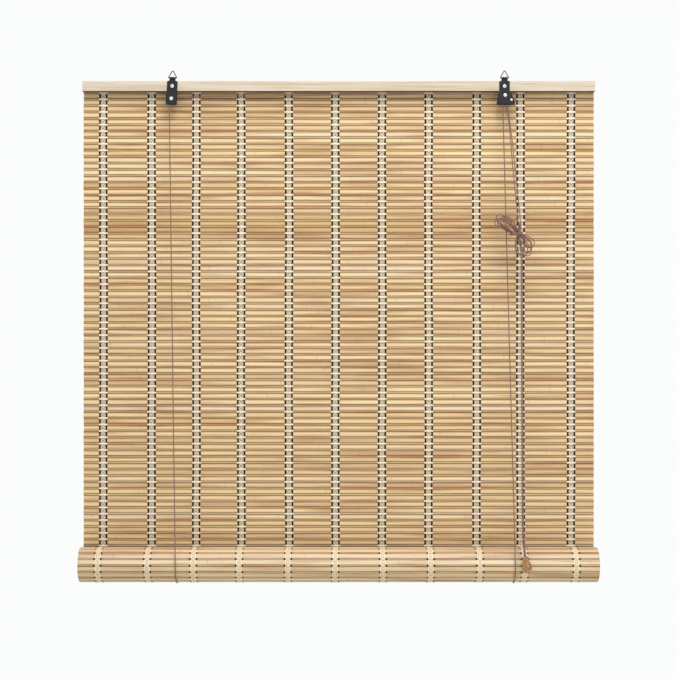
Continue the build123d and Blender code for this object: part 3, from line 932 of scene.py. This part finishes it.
@dataclass
class LiftCords:
    """The taut cords that raise the roll, from the pulleys under it and up behind the mat."""

    finishes: Finishes
    left_fall: float = -296.98
    right_fall: float = 287.15
    pull_side: float = 294.85
    left_lift: float = -281.0
    right_lift: float = 304.0
    rear_groove: float = -2.9
    front_groove: float = -5.9
    bracket_foot: float = -58.4
    roll_y: float = -15.5
    roll_z: float = -862.0
    back_top: float = -32.0  # where a cord behind the mat starts to hang straight
    loop_radius: float = 32.3
    front_room: float = 1.3  # so that the raised roll clears the slanting cord
    lift: float = 640.0

    def across(self) -> None:
        """The two cords that the pulleys carry; one runs across to the right bracket."""
        foot, rear, front = self.bracket_foot, self.rear_groove, self.front_groove
        left, right, pull = self.left_fall, self.right_fall, self.pull_side
        Cord("crossing_cord", (
            (left, rear, foot), (left, rear, -52.6), (left, rear, -44.885),
            (left + 7.7, rear, -44.81), (pull - 7.7, rear, -39.49), (pull, rear, -39.414),
            (pull, rear, -47.1), (pull, rear, foot)), self.finishes).build("frame", ["cross_cord"])
        Cord("lock_cord", (
            (right, front, foot), (right, front, -47.15), (right, front, -39.45),
            (pull, front, -39.45), (pull, front, -47.15), (pull, front, foot)),
            self.finishes).build("frame", ["over_cord"])

    def side(self, name: str, fall: float, groove: float, lift_x: float) -> None:
        """One side's cord: down in front, under the roll and up behind to its staple.

        Args:
            name: The side.
            fall: X where it leaves the bracket.
            groove: Y where it leaves the bracket.
            lift_x: X where it passes round the roll.
        """
        reach = self.loop_radius
        corner = reach * math.tan(math.pi / 8)
        front_y, back_y, roll_z = self.roll_y - reach, self.roll_y + reach, self.roll_z
        clear_y = front_y - self.front_room
        front = Cord(f"{name}_front_fall", (
            (fall, groove, self.bracket_foot), (lift_x, clear_y, roll_z)), self.finishes)
        self.shorten(front.build("frame", [f"{name}_front_cord"]))
        back = Cord(f"{name}_back_fall", (
            (lift_x, back_y, self.back_top), (lift_x, back_y, roll_z)), self.finishes)
        self.shorten(back.build("frame", [f"{name}_back_cord"]))
        Cord(f"{name}_under_loop", (
            (lift_x, back_y, roll_z), (lift_x, back_y, roll_z - corner),
            (lift_x, self.roll_y + corner, roll_z - reach),
            (lift_x, self.roll_y - corner, roll_z - reach),
            (lift_x, clear_y, roll_z - corner), (lift_x, clear_y, roll_z)),
            self.finishes).build("cord_cradle", [f"{name}_loop"])
        Cord(f"{name}_tied_end", (
            (lift_x, 13.5, -17.0), (lift_x, 13.5, -19.2), (lift_x, 16.8, -22.5),
            (lift_x, back_y, self.back_top)), self.finishes).build("frame", [f"{name}_cord_anchor"])

    def shorten(self, piece: Object) -> None:
        """Gives a straight fall a mesh of its own."""
        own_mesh(piece)

    def build(self) -> None:
        """Makes every taut cord."""
        self.across()
        self.side("left", self.left_fall, self.rear_groove, self.left_lift)
        self.side("right", self.right_fall, self.front_groove, self.right_lift)


@dataclass(frozen=True)
class Petal:
    """One loose turn of the hank, out from the tie and back."""

    heading: float  # degrees from +X towards +Z
    length: float
    half_width: float
    layer: float  # its depth, Y
    leaf: float = 0.0  # how much deeper its tip is
    clockwise: bool = False

    def points(self, tie: Point) -> list[Point]:
        """The turn's control points, without the tie's own.

        Args:
            tie: The tie's middle.

        Returns:
            Eleven points in millimetres.
        """
        turn = math.radians(self.heading)
        out = (math.cos(turn), math.sin(turn))
        side = (-out[1], out[0])
        wide, far = self.half_width, self.length
        shape = [
            (0.17 * far, 0.5 * wide), (0.42 * far, 0.95 * wide), (far - 1.9 * wide, 1.03 * wide),
            (far - 0.586 * wide, wide), (far - 0.08 * wide, 0.52 * wide), (far, 0.0),
            (far - 0.08 * wide, -0.52 * wide), (far - 0.586 * wide, -wide),
            (far - 1.9 * wide, -1.03 * wide), (0.42 * far, -0.95 * wide),
            (0.17 * far, -0.5 * wide)]
        if self.clockwise:
            shape.reverse()
        return [(tie[0] + out[0] * a + side[0] * b,
                 self.layer + self.leaf * a / far,
                 tie[2] + out[1] * a + side[1] * b) for a, b in shape]


# One turn of cord round the hank, as shares of its half width and half depth.
WRAP = ((0.0, -1.0), (0.4, -1.0), (0.72, -1.0), (1.0, -0.42), (1.0, 0.42), (0.72, 1.0),
        (0.3, 1.0), (-0.3, 1.0), (-0.72, 1.0), (-1.0, 0.42), (-1.0, -0.42), (-0.72, -1.0))


@dataclass
class PullCords:
    """The two pull cords, the hank of spare cord tied in them, and the acorn knob."""

    finishes: Finishes
    tie: Point = (312.4, -25.2, -287.6)
    crossing_step: float = 2.0
    wrap_pitch: float = 2.1  # from one turn round the bundle to the next
    knob_top: Point = (317.07, -56.6, -829.12)
    knob_inside: Point = (322.73, -56.6, -861.23)

    def upper(self) -> None:
        """The two strands from the lock down to the hank."""
        rear = Cord("rear_upper_strand", (
            (294.85, -2.9, -59.1), (299.4, -8.6, -104.0), (303.9, -14.2, -174.0),
            (308.8, -18.6, -227.0), (313.5, -22.7, -277.0)), self.finishes)
        front = Cord("front_upper_strand", (
            (294.85, -5.9, -59.1), (301.4, -9.2, -104.0), (307.8, -14.4, -174.0),
            (313.0, -18.8, -227.0), (316.8, -22.9, -277.0)), self.finishes)
        for cord, node in ((rear, "rear_pull_strand"), (front, "front_pull_strand")):
            piece = cord.build("pull_cords", [node])
            cord.path()

    def crossing(self, across: float, deep: float) -> Point:
        """A place in the tied bundle, in steps across it and into it."""
        lean = math.radians(40.0)
        step = self.crossing_step
        return (self.tie[0] + across * step * math.cos(lean), self.tie[1] + deep * step,
                self.tie[2] + across * step * math.sin(lean))

    def wraps(self, turns: int) -> list[Point]:
        """The turns of cord round the bundle that tie it."""
        points = []
        middle = (308.6, -25.2, -287.8)
        for k in range(turns):
            rise = self.wrap_pitch * k - 1.0
            deep, wide = 5.3 + 0.1 * k, 11.0
            for a, b in WRAP:
                step = len(points) % len(WRAP) / len(WRAP)
                points.append((middle[0] + a * wide, middle[1] + b * deep,
                               middle[2] + rise + 1.4 * a + self.wrap_pitch * step))
        return points

    def rear_tail(self) -> Cord:
        """The rear cord's turns in the hank and its fall to the knob."""
        route: list[Point] = [(313.5, -22.7, -277.0)]
        route += self.turns(
            ((0.5, 1.0), Petal(-57.0, 36.0, 8.6, -22.4, -0.6)),
            ((-0.5, 1.0), Petal(139.0, 49.0, 6.8, -22.4, 0.4)),
            ((1.5, 0.0), Petal(-75.0, 38.5, 8.4, -24.6, 0.4, True)),
            ((-1.5, 0.0), Petal(145.0, 43.0, 6.2, -24.6, -0.4, True)),
            ((-2.0, 1.0), Petal(-46.0, 30.0, 6.4, -26.6, 0.4)),
            ((-1.5, -1.0), Petal(131.0, 38.0, 7.0, -27.0, 0.2)),
        )
        route += [self.crossing(0.5, -1.0), (315.4, -27.0, -300.0), (316.6, -26.9, -325.0)]
        return Cord("rear_tail_cord", route + self.fall(-0.95, 316.6, -26.9), self.finishes)

    def front_tail(self) -> Cord:
        """The front cord's turns, the tie that it makes and its fall to the knob."""
        route: list[Point] = [(316.8, -22.9, -277.0)]
        route += self.turns(
            ((2.3, 1.0), Petal(-38.0, 33.0, 7.8, -23.6, 0.6)),
            ((-0.5, 0.0), Petal(108.0, 27.0, 6.6, -24.4, -0.4, True)),
            ((0.5, 0.0), Petal(-86.0, 34.0, 7.6, -26.8, -0.4)),
            ((-0.5, -1.0), Petal(150.0, 47.0, 6.4, -26.6, -0.6, True)),
            ((1.5, -1.0), Petal(-65.0, 41.0, 7.2, -28.4, 0.2)),
            ((2.0, -0.5), Petal(136.0, 42.0, 7.6, -28.8, 0.2, True)),
        )
        route += self.wraps(2)
        route += [(305.2, -31.0, -287.2), (311.5, -30.6, -292.0), (317.2, -29.2, -302.0),
                  (318.8, -27.1, -325.0)]
        return Cord("front_tail_cord", route + self.fall(0.95, 318.8, -27.1), self.finishes)

    def turns(self, *passes: tuple[tuple[float, float], Petal]) -> list[Point]:
        """Each pass through the tied bundle, and the loose turn that follows it.

        Args:
            passes: Where the cord crosses the tie, in steps, and its next turn.

        Returns:
            The control points.
        """
        route: list[Point] = []
        for (across, deep), petal in passes:
            route.append(self.crossing(across, deep))
            route += petal.points(self.tie)
        return route

    def fall(self, across: float, top_x: float, top_y: float) -> list[Point]:
        """A cord's straight fall from the hank and its way into the knob.

        Args:
            across: How far it lies from the knob's axis.
            top_x: X where it leaves the hank.
            top_y: Y where it leaves the hank.

        Returns:
            The control points below the hank.
        """
        foot_x, foot_y = 315.9 + across, -53.0
        lean = math.radians(10.0)
        beside = (across * math.cos(lean), 0.0, across * math.sin(lean))
        return [
            (top_x + (foot_x - top_x) * 0.07, top_y + (foot_y - top_y) * 0.07, -357.3),
            (foot_x - (foot_x - top_x) * 0.09, foot_y - (foot_y - top_y) * 0.09, -744.5),
            (foot_x, foot_y, -786.0),
            tuple(a + b for a, b in zip(self.knob_top, beside)),
            tuple(a + b for a, b in zip(self.knob_inside, beside)),
        ]

    def knot(self) -> Object:
        """The overhand knot that stops the cords inside the knob."""
        lean = math.radians(10.0)
        middle = (323.25, -56.6, -864.18)
        points = []
        for k in range(24):
            turn = WHOLE_TURN * 2 * k / 24
            swell = 1.25 + 0.65 * math.cos(1.5 * turn)
            u, v = swell * math.cos(turn), swell * math.sin(turn)
            w = 1.15 * math.sin(1.5 * turn)
            points.append((middle[0] + u * math.cos(lean) - w * math.sin(lean), middle[1] + v,
                           middle[2] + u * math.sin(lean) + w * math.cos(lean)))
        return Cord("stopper_knot", points, self.finishes, closed=True).build(
            "pull_tail", ["knob_knot"])

    def build(self) -> None:
        """Makes the strands, the hank, the knot and the knob's finish."""
        self.upper()
        knob = frame["nodes"]["knob"]
        dress(knob, self.finishes.acorn)
        knot = self.knot()
        rear, front = self.rear_tail(), self.front_tail()
        rear_piece = rear.build("pull_tail", ["hank", "rear_lower_strand"])
        front_piece = front.build("pull_tail", ["front_lower_strand"])
        for cord, piece, end in ((rear, rear_piece, knob), (front, front_piece, knot)):
            path = cord.path()


# The batten and the brackets


@dataclass
class Hardware:
    """The batten, brackets, pulleys, rings, screws and staples, which keep their CAD shapes."""

    finishes: Finishes

    def build(self) -> None:
        """Gives each CAD node its finish."""
        made = self.finishes
        by_finish = (
            (made.batten, ("head_batten",)),
            (made.lacquer, ("left_plate", "right_plate", "left_cover", "right_cover")),
            (made.wire, ("left_ring", "right_ring")),
            (made.nylon, ("left_pulley", "right_pulley", "lock_cam")),
            (made.zinc, ("left_screw", "right_screw", "left_axle", "right_axle", "cam_pin",
                         "mat_staples", "cord_staples")),
        )
        for finish, nodes in by_finish:
            for node in nodes:
                dress(frame["nodes"][node], finish)
            log.info("%s: %s", finish.name, ", ".join(nodes))


# The studio


@dataclass
class Studio:
    """A pale floor, an even pale surround, soft lights and the camera."""

    floor_z: float = -1.25
    floor_back: float = 0.68
    floor_half: float = 3.4
    key_watts: float = 20.0
    fill_watts: float = 18.0
    top_watts: float = 80.0

    def floor(self) -> None:
        """The floor, whose far edge is just below the camera's view."""
        bm = bmesh.new()
        bmesh.ops.create_grid(bm, x_segments=8, y_segments=8, size=self.floor_half)
        bmesh.ops.translate(bm, verts=bm.verts,
                            vec=(0, self.floor_back - self.floor_half, self.floor_z))
        mesh = bpy.data.meshes.new("floor")
        bm.to_mesh(mesh)
        bm.free()
        piece = bpy.data.objects.new("floor", mesh)
        bpy.context.collection.objects.link(piece)
        dress(piece, PaintedPlaster().make())

    def light(self, name: str, place: Point, target: Point, size: float, watts: float) -> None:
        """Adds one soft square light.

        Args:
            name: The light's name.
            place: Where it stands, in metres.
            target: What it points at.
            size: Its side in metres.
            watts: Its power.
        """
        lamp = bpy.data.lights.new(name, "AREA")
        lamp.size = size
        lamp.energy = watts
        holder = bpy.data.objects.new(name, lamp)
        holder.location = place
        holder.rotation_euler = (Vector(target) - Vector(place)).to_track_quat("-Z", "Y").to_euler()
        bpy.context.collection.objects.link(holder)

    def surround(self) -> None:
        """Lights the scene evenly, and more from behind it than from the room."""
        world = bpy.data.worlds.new("studio")
        world.use_nodes = True
        tree = world.node_tree
        background = tree.nodes["Background"]
        place = add_node(tree, "TexCoord", {}).outputs["Generated"]
        depth = add_node(tree, "SeparateXYZ", {"Vector": place}).outputs["Y"]
        near = add_node(tree, "MapRange", {"Value": depth, "From Min": -0.6, "From Max": 0.9})
        body = ramp(tree, near.outputs[0], ((0.0, "ABADAF"), (0.5, "C6C8C9"), (1.0, "FBFDFC")))
        tree.links.new(body, background.inputs["Color"])
        bpy.context.scene.world = world

    def camera(self) -> None:
        """The camera, level and square to the blind."""
        lens = bpy.data.cameras.new("camera")
        lens.lens = 74.0
        lens.sensor_width = 36.0
        holder = bpy.data.objects.new("camera", lens)
        holder.location = (0.0014, -2.449, -0.4705)
        holder.rotation_euler = (math.radians(90.0), 0.0, 0.0)
        bpy.context.collection.objects.link(holder)
        bpy.context.scene.camera = holder

    def build(self) -> None:
        """Sets up the studio."""
        self.camera()
        self.floor()
        self.surround()
        middle = (0.0, 0.0, -0.45)
        self.light("key", (-1.5, -2.2, 1.7), middle, 1.0, self.key_watts)
        self.light("fill", (1.7, -2.3, -0.3), (0.0, 0.0, -0.75), 1.4, self.fill_watts)
        self.light("top", (0.3, -1.5, 2.2), (0.0, 0.0, -0.7), 1.2, self.top_watts)
        bpy.context.scene.view_settings.view_transform = "Standard"
        log.info("studio ready")


def main() -> None:
    """Builds the camera and cords first, then the rest, and reports each piece."""
    logging.basicConfig(level=logging.INFO, format="%(name)s: %(message)s")
    Studio().build()
    finishes = Finishes()
    PullCords(finishes).build()
    LiftCords(finishes).build()
    FlatMat(MatPattern(), finishes).build()
    # The roll's strips are toned much lighter than the flat mat's: painted light, for the light
    # from above falling on the roll.
    RolledMat(MatPattern(lightness=0.86, dice=random.Random(7)), finishes).build()
    Hardware(finishes).build()


if __name__ == "__main__":
    main()
